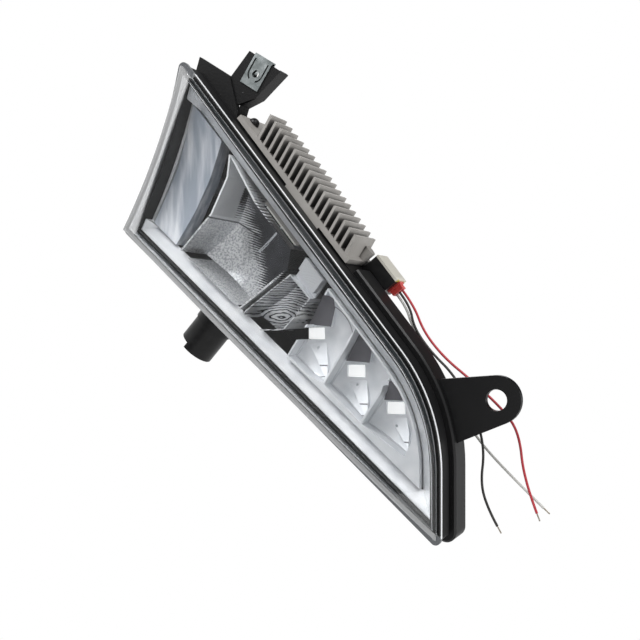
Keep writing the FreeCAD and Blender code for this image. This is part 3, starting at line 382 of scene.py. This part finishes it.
def contoured_silver():
    """The silvered lobe: fine terraced optics, with dark flowing lines like wood grain painted on as their
    reflections.
    """
    material, tree, place = start("silvered_terraced_optics")
    moved = add(tree, "Mapping", {
        "Vector": place, "Location": (0.150, 0.0, -0.052), "Scale": (1.0, 0.3, 1.0)}).outputs["Vector"]
    turned = add(tree, "Mapping", {
        "Vector": moved, "Rotation": (0.0, math.radians(40), 0.0),
        "Scale": (1.0, 1.0, 2.2)}).outputs["Vector"]
    # Seen from the front, the terraces are about 1.6 to 3.5 mm wide.
    flow = add(tree, "TexWave", {
        "Vector": turned, "Scale": per_wave(3.5), "Distortion": 5.0, "Detail": 2.0,
        "Detail Scale": 1.5},
        wave_type="RINGS", rings_direction="SPHERICAL").outputs["Fac"]
    inside = fade(tree, beyond(tree, place, LOBE_EDGE), -0.0004, -0.0008)
    # The dark lines are painted reflections of the terraces.
    lines = add(tree, "ValToRGB", {"Fac": flow}, [
        (0.1, linear("#26272a")), (0.3, linear("#d6d8db")), (1.0, linear("#f2f3f4"))])
    colour = add(tree, "MixRGB", {
        "Fac": inside, "Color1": linear("#e4e6e9"), "Color2": lines.outputs["Color"]}).outputs["Color"]
    bump = add(tree, "Bump", {"Height": flow, "Strength": 0.2, "Distance": 0.0004}).outputs["Normal"]
    end(tree, add(tree, "BsdfPrincipled", {
        "Base Color": colour, "Metallic": 0.5, "Roughness": 0.22, "Normal": bump}))
    return material


def cup_silver():
    """The three cups: pale etched silvering, with painted shade on the hood over each light and in the
    dimple below it.
    """
    material, tree, place = start("silvered_etched_cups")
    depth = add(tree, "SeparateXYZ", {"Vector": place}).outputs["Y"]
    cloud = add(tree, "TexNoise", {"Vector": place, "Scale": per(12), "Detail": 2}).outputs["Fac"]
    pale = add(tree, "ValToRGB", {"Fac": cloud}, [(0.3, linear("#dadde0")), (0.7, linear("#eeeff1"))])
    # The flat faces of the hoods and the floors of the dimples are found by their depth, and painted grey as
    # shade.
    hood = add(tree, "Math", {0: depth, 1: HOOD_FACE, 2: 0.0002}, operation="COMPARE").outputs["Value"]
    floor = add(tree, "Math", {0: depth, 1: DIMPLE_FLOOR, 2: 0.0002}, operation="COMPARE").outputs["Value"]
    picked_faces = add(tree, "Math", {0: hood, 1: floor}, operation="MAXIMUM").outputs["Value"]
    colour = add(tree, "MixRGB", {
        "Fac": picked_faces, "Color1": pale.outputs["Color"], "Color2": linear("#67666b")}).outputs["Color"]
    rough = add(tree, "MapRange", {"Value": cloud, "To Min": 0.5, "To Max": 0.6}).outputs["Result"]
    end(tree, add(tree, "BsdfPrincipled", {"Base Color": colour, "Metallic": 0.4, "Roughness": rough}))
    return material


def frame_silver():
    """Silvering over a fine etched tool: pale and soft, nearly white where it faces the light."""
    material, tree, place = start("silvered_etched_frame")
    cloud = add(tree, "TexNoise", {"Vector": place, "Scale": per(12), "Detail": 2}).outputs["Fac"]
    colour = add(tree, "ValToRGB", {"Fac": cloud}, [(0.3, linear("#e0e2e5")), (0.7, linear("#f2f3f4"))])
    rough = add(tree, "MapRange", {"Value": cloud, "To Min": 0.14, "To Max": 0.24}).outputs["Result"]
    end(tree, add(tree, "BsdfPrincipled", {
        "Base Color": colour.outputs["Color"], "Metallic": 0.2, "Roughness": rough}))
    return material


def satin_aluminium():
    """Satin silvering with a drawn grain: blue-grey, with soft pale streaks that run down the trim."""
    material, tree, place = start("satin_brushed_aluminium")
    # The real drawn lines are about 0.1 mm apart; they are drawn 1.5 mm apart so that they show.
    lines = add(tree, "Mapping", {"Vector": place, "Scale": (per(7), per(7), per(60))}).outputs["Vector"]
    streak = add(tree, "TexNoise", {"Vector": lines, "Scale": 1.0, "Detail": 3}).outputs["Fac"]
    fine = add(tree, "Mapping", {"Vector": place, "Scale": (per(1.5), per(1.5), per(40))}).outputs["Vector"]
    grain = add(tree, "TexNoise", {"Vector": fine, "Scale": 1.0, "Detail": 3}).outputs["Fac"]
    colour = add(tree, "ValToRGB", {"Fac": streak}, [(0.42, linear("#a9b1bc")), (0.68, linear("#eceef2"))])
    bump = add(tree, "Bump", {"Height": grain, "Strength": 0.15, "Distance": 0.0003}).outputs["Normal"]
    end(tree, add(tree, "BsdfPrincipled", {
        "Base Color": colour.outputs["Color"], "Metallic": 0.55, "Roughness": 0.42, "Normal": bump}))
    return material


def white_diffuser():
    """Opal acrylic over each light: bright white, with a painted glow from a weak emission, and a soft
    gloss.
    """
    material, tree, place = start("opal_acrylic")
    cloud = add(tree, "TexNoise", {"Vector": place, "Scale": per(4), "Detail": 2}).outputs["Fac"]
    colour = add(tree, "ValToRGB", {"Fac": cloud}, [(0.2, linear("#f2f2f0")), (0.8, linear("#fbfbfa"))])
    end(tree, add(tree, "BsdfPrincipled", {
        "Base Color": colour.outputs["Color"], "Roughness": 0.3, "Emission Color": colour.outputs["Color"],
        "Emission Strength": 0.6}))
    return material


def solder_mask():
    """White solder mask on a laminate board: satin, with the weave of the laminate just under it."""
    material, tree, place = start("white_solder_mask")
    weave = add(tree, "TexBrick", {
        "Vector": place, "Scale": per(2.5), "Color1": linear("#d9d9d4"), "Color2": linear("#e6e6e1"),
        "Mortar": linear("#c5c6bd"), "Mortar Size": 0.03}).outputs["Color"]
    end(tree, add(tree, "BsdfPrincipled", {"Base Color": weave, "Roughness": 0.45}))
    return material


def cast_aluminium(colours):
    """Die-cast aluminium, bead blasted: warm matt grey with a fine pitted skin."""
    material, tree, place = start("bead_blasted_die_casting")
    # Blasting pits are about 0.2 mm; they are drawn 0.8 mm wide so that they show.
    pits = add(tree, "TexNoise", {"Vector": place, "Scale": per(0.8), "Detail": 3}).outputs["Fac"]
    cloud = add(tree, "TexNoise", {"Vector": place, "Scale": per(18), "Detail": 4}).outputs["Fac"]
    colour = add(tree, "ValToRGB", {"Fac": cloud}, [(0.3, linear("#9c9995")), (0.7, colours.casting)])
    # The channels between the fins are painted with shade, darker than the lamps alone make them.
    open_air = add(tree, "AmbientOcclusion", {"Distance": 0.012}).outputs["AO"]
    deep = fade(tree, open_air, 0.55, 0.2)
    colour = add(tree, "MixRGB", {
        "Fac": deep, "Color1": colour.outputs["Color"], "Color2": linear("#3c3937")})
    bump = add(tree, "Bump", {"Height": pits, "Strength": 0.35, "Distance": 0.0003}).outputs["Normal"]
    end(tree, add(tree, "BsdfPrincipled", {
        "Base Color": colour.outputs["Color"], "Metallic": 0.35, "Roughness": 0.55, "Normal": bump}))
    return material


def black_oxide():
    """Steel screws blacked in hot salts: dark, oily and a little brighter where handled."""
    material, tree, place = start("black_oxide_steel")
    rub = add(tree, "TexNoise", {"Vector": place, "Scale": per(2.5), "Detail": 4}).outputs["Fac"]
    colour = add(tree, "ValToRGB", {"Fac": rub}, [(0.35, linear("#1b1b1c")), (0.75, linear("#3a3a3b"))])
    end(tree, add(tree, "BsdfPrincipled", {
        "Base Color": colour.outputs["Color"], "Metallic": 0.8, "Roughness": 0.36}))
    return material


def black_nylon():
    """Moulded nylon of the driver's case and the cable socket: satin black with a slight cloud."""
    material, tree, place = start("black_moulded_nylon")
    cloud = add(tree, "TexNoise", {"Vector": place, "Scale": per(6), "Detail": 4}).outputs["Fac"]
    colour = add(tree, "ValToRGB", {"Fac": cloud}, [(0.3, linear("#0c0c0d")), (0.75, linear("#181819"))])
    rough = add(tree, "MapRange", {"Value": cloud, "To Min": 0.3, "To Max": 0.45}).outputs["Result"]
    end(tree, add(tree, "BsdfPrincipled", {
        "Base Color": colour.outputs["Color"], "Roughness": rough, "IOR": 1.33}))
    return material


def cast_resin():
    """Poured potting resin: matt beige-grey that yellows towards its lower end."""
    material, tree, place = start("beige_potting_resin")
    up = add(tree, "SeparateXYZ", {"Vector": place}).outputs["Z"]
    cloud = add(tree, "TexNoise", {"Vector": place, "Scale": per(7), "Detail": 4}).outputs["Fac"]
    drift = fade(tree, up, RESIN_YELLOW_END, RESIN_GREY_START)
    mixed = add(tree, "Math", {0: drift, 1: cloud}, operation="ADD").outputs["Value"]
    colour = add(tree, "ValToRGB", {"Fac": mixed}, [
        (0.45, linear("#b3a23f")), (0.7, linear("#c9c6bd")), (1.0, linear("#b9b6ad"))])
    bump = add(tree, "Bump", {"Height": cloud, "Strength": 0.3, "Distance": 0.0005}).outputs["Normal"]
    end(tree, add(tree, "BsdfPrincipled", {
        "Base Color": colour.outputs["Color"], "Roughness": 0.6, "Normal": bump}))
    return material


def red_silicone():
    """Moulded silicone rubber: soft red with a slight sheen."""
    material, tree, place = start("red_silicone_rubber")
    cloud = add(tree, "TexNoise", {"Vector": place, "Scale": per(3), "Detail": 4}).outputs["Fac"]
    colour = add(tree, "ValToRGB", {"Fac": cloud}, [(0.3, linear("#b92c28")), (0.75, linear("#d4453c"))])
    end(tree, add(tree, "BsdfPrincipled", {
        "Base Color": colour.outputs["Color"], "Roughness": 0.5, "Sheen Weight": 0.2}))
    return material


def insulation(name, colour):
    """Extruded PVC insulation: satin, with a faint mottled skin."""
    material, tree, place = start(name)
    skin = add(tree, "TexNoise", {"Vector": place, "Scale": per(2), "Detail": 3}).outputs["Fac"]
    dark = (*[v * 0.9 for v in colour[:3]], 1.0)
    shade = add(tree, "ValToRGB", {"Fac": skin}, [(0.3, dark), (0.7, colour)])
    end(tree, add(tree, "BsdfPrincipled", {"Base Color": shade.outputs["Color"], "Roughness": 0.38}))
    return material


def bright_zinc():
    """Spring steel with bright zinc plate: cool grey, a little cloudy."""
    material, tree, place = start("zinc_plated_spring_steel")
    cloud = add(tree, "TexNoise", {"Vector": place, "Scale": per(5), "Detail": 5}).outputs["Fac"]
    colour = add(tree, "ValToRGB", {"Fac": cloud}, [(0.3, linear("#9aa2a2")), (0.7, linear("#c3cacb"))])
    rough = add(tree, "MapRange", {"Value": cloud, "To Min": 0.22, "To Max": 0.42}).outputs["Result"]
    end(tree, add(tree, "BsdfPrincipled", {
        "Base Color": colour.outputs["Color"], "Metallic": 1.0, "Roughness": rough}))
    return material


def tinned_metal(name, dark, pale):
    """Tinned metal: pale and soft-bright, a little cloudy."""
    material, tree, place = start(name)
    cloud = add(tree, "TexNoise", {"Vector": place, "Scale": per(1.5), "Detail": 3}).outputs["Fac"]
    colour = add(tree, "ValToRGB", {"Fac": cloud}, [(0.3, linear(dark)), (0.7, linear(pale))])
    end(tree, add(tree, "BsdfPrincipled", {
        "Base Color": colour.outputs["Color"], "Metallic": 1.0, "Roughness": 0.3}))
    return material


def black_rubber():
    """Moulded rubber of the vent cap and the gasket: matt black with a bloom."""
    material, tree, place = start("moulded_black_rubber")
    bloom = add(tree, "TexNoise", {"Vector": place, "Scale": per(4), "Detail": 4}).outputs["Fac"]
    colour = add(tree, "ValToRGB", {"Fac": bloom}, [(0.3, linear("#131313")), (0.75, linear("#2a2a2a"))])
    end(tree, add(tree, "BsdfPrincipled", {"Base Color": colour.outputs["Color"], "Roughness": 0.75}))
    return material


def nurbs(data, points):
    """Adds one smooth spline whose control points are these."""
    spline = data.splines.new("NURBS")
    spline.points.add(len(points) - 1)
    for spot, point in zip(spline.points, points):
        spot.co = (*point, 1.0)
    spline.order_u = 3
    spline.use_endpoint_u = True


def curve_piece(name, lines, wide, material):
    """A round bar along each line, as one curve object."""
    data = bpy.data.curves.new(name, "CURVE")
    data.dimensions = "3D"
    data.resolution_u = 10
    data.bevel_depth = wide / 2
    data.bevel_resolution = 4
    data.use_fill_caps = True
    for points in lines:
        nurbs(data, points)
    data.materials.append(material)
    piece = bpy.data.objects.new(name, data)
    bpy.context.scene.collection.objects.link(piece)
    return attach(piece, "root")


class SPOT_OT_lens(bpy.types.Operator):
    """Finish the clear lens and the bead that seals it"""

    bl_idname = "spot.lens"
    bl_label = "Lens"

    def execute(self, context):
        wear("lens", clear_polycarbonate())
        wear("lens_sealant", butyl_bead())
        return {"FINISHED"}


class SPOT_OT_housing(bpy.types.Operator):
    """Finish the black housing and its vent cap"""

    bl_idname = "spot.housing"
    bl_label = "Housing"

    def execute(self, context):
        wear("housing", black_polypropylene(context.scene.spot_colours))
        wear("vent_cap", black_rubber())
        return {"FINISHED"}


class SPOT_OT_reflectors(bpy.types.Operator):
    """Finish the silvered reflectors and trims behind the lens"""

    bl_idname = "spot.reflectors"
    bl_label = "Reflectors"

    def execute(self, context):
        wear("main_reflector", faceted_silver())
        wear("lobe_reflector", contoured_silver())
        wear("drl_reflector", cup_silver())
        wear("trim_frame", frame_silver())
        wear("side_trim", satin_aluminium())
        return {"FINISHED"}


class SPOT_OT_lights(bpy.types.Operator):
    """Finish the light blocks, chips and boards"""

    bl_idname = "spot.lights"
    bl_label = "Lights"

    def execute(self, context):
        opal = white_diffuser()
        mask = solder_mask()
        for node in ("drl_leds", "main_leds"):
            wear(node, opal)
        for node in ("drl_led_boards", "main_led_board"):
            wear(node, mask)
        return {"FINISHED"}


class SPOT_OT_heat_sink(bpy.types.Operator):
    """Finish the finned casting, its gasket and its screws"""

    bl_idname = "spot.heat_sink"
    bl_label = "Heat sink"

    def execute(self, context):
        wear("heat_sink", cast_aluminium(context.scene.spot_colours))
        wear("heat_sink_gasket", black_rubber())
        wear("heat_sink_screws", black_oxide())
        return {"FINISHED"}


class SPOT_OT_driver(bpy.types.Operator):
    """Finish the driver, its resin top and its wire seal"""

    bl_idname = "spot.driver"
    bl_label = "Driver"

    def execute(self, context):
        wear("driver_case", black_nylon())
        wear("driver_plate", cast_resin())
        wear("wire_seal", red_silicone())
        return {"FINISHED"}


def strand_lines(sleeve_end, ahead, sizes):
    """The twisted strands of one bare end: one in the middle and the others in a ring round it."""
    side = ahead.cross(Vector((0, 1, 0))).normalized()
    over = ahead.cross(side)
    lines = []
    for strand in range(STRANDS):
        ring = 0.0 if strand == 0 else sizes.wire * STRAND_SHARE
        line = []
        for step in range(STRAND_SPOTS):
            turn = math.radians(360 / (STRANDS - 1) * strand + STRAND_TWIST * step)
            along = step / (STRAND_SPOTS - 1) * (1 + STRAND_TUCK) - STRAND_TUCK
            spot = sleeve_end + ahead * (along * sizes.bare)
            line.append(tuple(spot + (side * math.cos(turn) + over * math.sin(turn)) * ring))
        lines.append(line)
    return lines


class SPOT_OT_wires(bpy.types.Operator):
    """Lay the three loose wires with their stripped ends"""

    bl_idname = "spot.wires"
    bl_label = "Wires"

    def execute(self, context):
        colours = context.scene.spot_colours
        sizes = context.scene.spot_sizes
        bare = tinned_metal("tinned_copper_strand", "#8a7f72", "#c9c2b6")
        shades = {"red_wire": colours.red, "black_wire": colours.black, "white_wire": colours.white}
        for name, route in WIRE_ROUTES.items():
            tip = Vector(route[-1])
            ahead = (tip - Vector(route[-2])).normalized()
            sleeve_end = tip - ahead * sizes.bare
            points = route[:-1] + [tuple(sleeve_end)]
            skin = insulation(name + "_pvc", tuple(shades[name]))
            piece = curve_piece(name + "_sleeve", [points], sizes.wire, skin)
            strands = strand_lines(sleeve_end, ahead, sizes)
            ends = curve_piece(name + "_strands", strands, sizes.wire * STRAND_SHARE, bare)
            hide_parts(name)
        return {"FINISHED"}


class SPOT_OT_fixings(bpy.types.Operator):
    """Finish the spring nut and the reflector screws"""

    bl_idname = "spot.fixings"
    bl_label = "Fixings"

    def execute(self, context):
        zinc = bright_zinc()
        wear("u_nut", zinc)
        wear("reflector_screws", zinc)
        return {"FINISHED"}


class SPOT_OT_socket(bpy.types.Operator):
    """Finish the cable socket on the lower edge"""

    bl_idname = "spot.socket"
    bl_label = "Cable socket"

    def execute(self, context):
        nylon = black_nylon()
        wear("socket_body", nylon)
        wear("socket_collar", nylon)
        wear("socket_pins", tinned_metal("tinned_brass_pin", "#a89f84", "#ddd8c8"))
        return {"FINISHED"}


def softbox(name, spot, target, wide, high, watts):
    """A rectangular lamp that faces a point."""
    data = bpy.data.lights.new(name, "AREA")
    data.shape = "RECTANGLE"
    data.size = wide
    data.size_y = high
    data.energy = watts
    lamp = bpy.data.objects.new(name, data)
    lamp.location = spot
    lamp.rotation_euler = (Vector(target) - Vector(spot)).to_track_quat("-Z", "Y").to_euler()
    bpy.context.scene.collection.objects.link(lamp)


def card(name, spot, target, wide, high, level):
    """A flat studio card that only shows in reflections."""
    data = bpy.data.meshes.new(name)
    shape = bmesh.new()
    bmesh.ops.create_grid(shape, x_segments=1, y_segments=1, size=0.5)
    bmesh.ops.scale(shape, vec=(wide, high, 1), verts=shape.verts)
    shape.to_mesh(data)
    shape.free()
    piece = bpy.data.objects.new(name, data)
    piece.location = spot
    piece.rotation_euler = (Vector(target) - Vector(spot)).to_track_quat("-Z", "Y").to_euler()
    material, tree = start(name + "_paint")[:2]
    end(tree, add(tree, "BsdfDiffuse", {"Color": grey(level)}))
    data.materials.append(material)
    piece.visible_camera = False
    bpy.context.scene.collection.objects.link(piece)


class SPOT_OT_stage(bpy.types.Operator):
    """Set out the floor, the studio light and the camera"""

    bl_idname = "spot.stage"
    bl_label = "Stage"

    def execute(self, context):
        scene = context.scene
        scene.view_settings.view_transform = "Standard"

        world = bpy.data.worlds.new("studio")
        scene.world = world
        world.use_nodes = True
        tree = world.node_tree
        tree.nodes.clear()
        soft = add(tree, "Background", {"Color": grey(1.0), "Strength": 0.78})
        white = add(tree, "Background", {"Color": grey(1.0), "Strength": 1.0})
        both = add(tree, "MixShader", {0: seen(tree), 1: soft.outputs[0], 2: white.outputs[0]})
        add(tree, "OutputWorld", {"Surface": both.outputs[0]})

        data = bpy.data.meshes.new("floor")
        shape = bmesh.new()
        bmesh.ops.create_circle(shape, cap_ends=True, segments=96, radius=FLOOR_RADIUS)
        shape.to_mesh(data)
        shape.free()
        floor = bpy.data.objects.new("floor", data)
        floor.location = (LAMP_MIDDLE[0], 0, CAD_BOX[0][2] - FLOOR_DROP)
        scene.collection.objects.link(floor)
        material, tree = start("white_floor_paint")[:2]
        share = add(tree, "Math", {0: seen(tree), 1: 0.85}, operation="MULTIPLY").outputs["Value"]
        matt = add(tree, "BsdfDiffuse", {"Color": linear("#f5f5f5")})
        glow = add(tree, "Emission", {"Color": grey(1.0), "Strength": 1.0})
        end(tree, add(tree, "MixShader", {0: share, 1: matt.outputs[0], 2: glow.outputs[0]}))
        data.materials.append(material)

        reach = scene.spot_sizes.studio
        softbox("key", (-0.35 * reach, -0.7 * reach, 1.1 * reach), LAMP_MIDDLE, 0.8, 0.6, 11)
        softbox("edge", (0.63 * reach, -0.33 * reach, 0.95 * reach), LAMP_MIDDLE, 0.25, 0.25, 3)
        softbox("rim", (0.9 * reach, 0.25 * reach, -0.35 * reach), LAMP_MIDDLE, 0.5, 0.5, 5)
        card("flag_front", (-0.68 * reach, -1.2 * reach, 0.1), LAMP_MIDDLE, 0.9, 1.1, 0.25)
        card("flag_back", (0.45 * reach, 1.2 * reach, 0.6), LAMP_MIDDLE, 1.5, 1.26, 0.004)
        card("flag_low", (0.85 * reach, 1.2 * reach, -0.42), LAMP_MIDDLE, 1.1, 0.5, 0.004)
        card("flag_right", (0.75 * reach, -0.75 * reach, 0.1), LAMP_MIDDLE, 0.4, 1.0, 0.01)

        data = bpy.data.cameras.new("photo_view")
        data.sensor_width = 36
        data.lens = CAMERA_LENS_MM
        camera = bpy.data.objects.new("photo_view", data)
        camera.location = CAMERA_SPOT
        camera.rotation_euler = (math.radians(90), 0, math.radians(CAMERA_TURN))
        scene.collection.objects.link(camera)
        scene.camera = camera
        return {"FINISHED"}


class SPOT_PT_panel(bpy.types.Panel):
    """Lists the steps that dress the spotlight"""

    bl_idname = "SPOT_PT_panel"
    bl_label = "Truck spotlight"
    bl_space_type = "VIEW_3D"
    bl_region_type = "UI"
    bl_category = "Spotlight"

    def draw(self, context):
        for group in (context.scene.spot_sizes, context.scene.spot_colours):
            for name in group.__annotations__:
                self.layout.prop(group, name)
        for step in STEPS:
            self.layout.operator(step.bl_idname)


STEPS = (
    SPOT_OT_lens, SPOT_OT_housing, SPOT_OT_reflectors, SPOT_OT_lights, SPOT_OT_heat_sink, SPOT_OT_driver,
    SPOT_OT_wires, SPOT_OT_fixings, SPOT_OT_socket, SPOT_OT_stage)


def register():
    for item in (SpotColours, SpotSizes, *STEPS, SPOT_PT_panel):
        bpy.utils.register_class(item)
    bpy.types.Scene.spot_colours = PointerProperty(type=SpotColours)
    bpy.types.Scene.spot_sizes = PointerProperty(type=SpotSizes)


def unregister():
    del bpy.types.Scene.spot_sizes
    del bpy.types.Scene.spot_colours
    for item in reversed((SpotColours, SpotSizes, *STEPS, SPOT_PT_panel)):
        bpy.utils.unregister_class(item)


def main():
    register()
    for step in STEPS:
        family, name = step.bl_idname.split(".")
        getattr(getattr(bpy.ops, family), name)()
    bpy.context.view_layer.update()


if __name__ == "__main__":
    main()
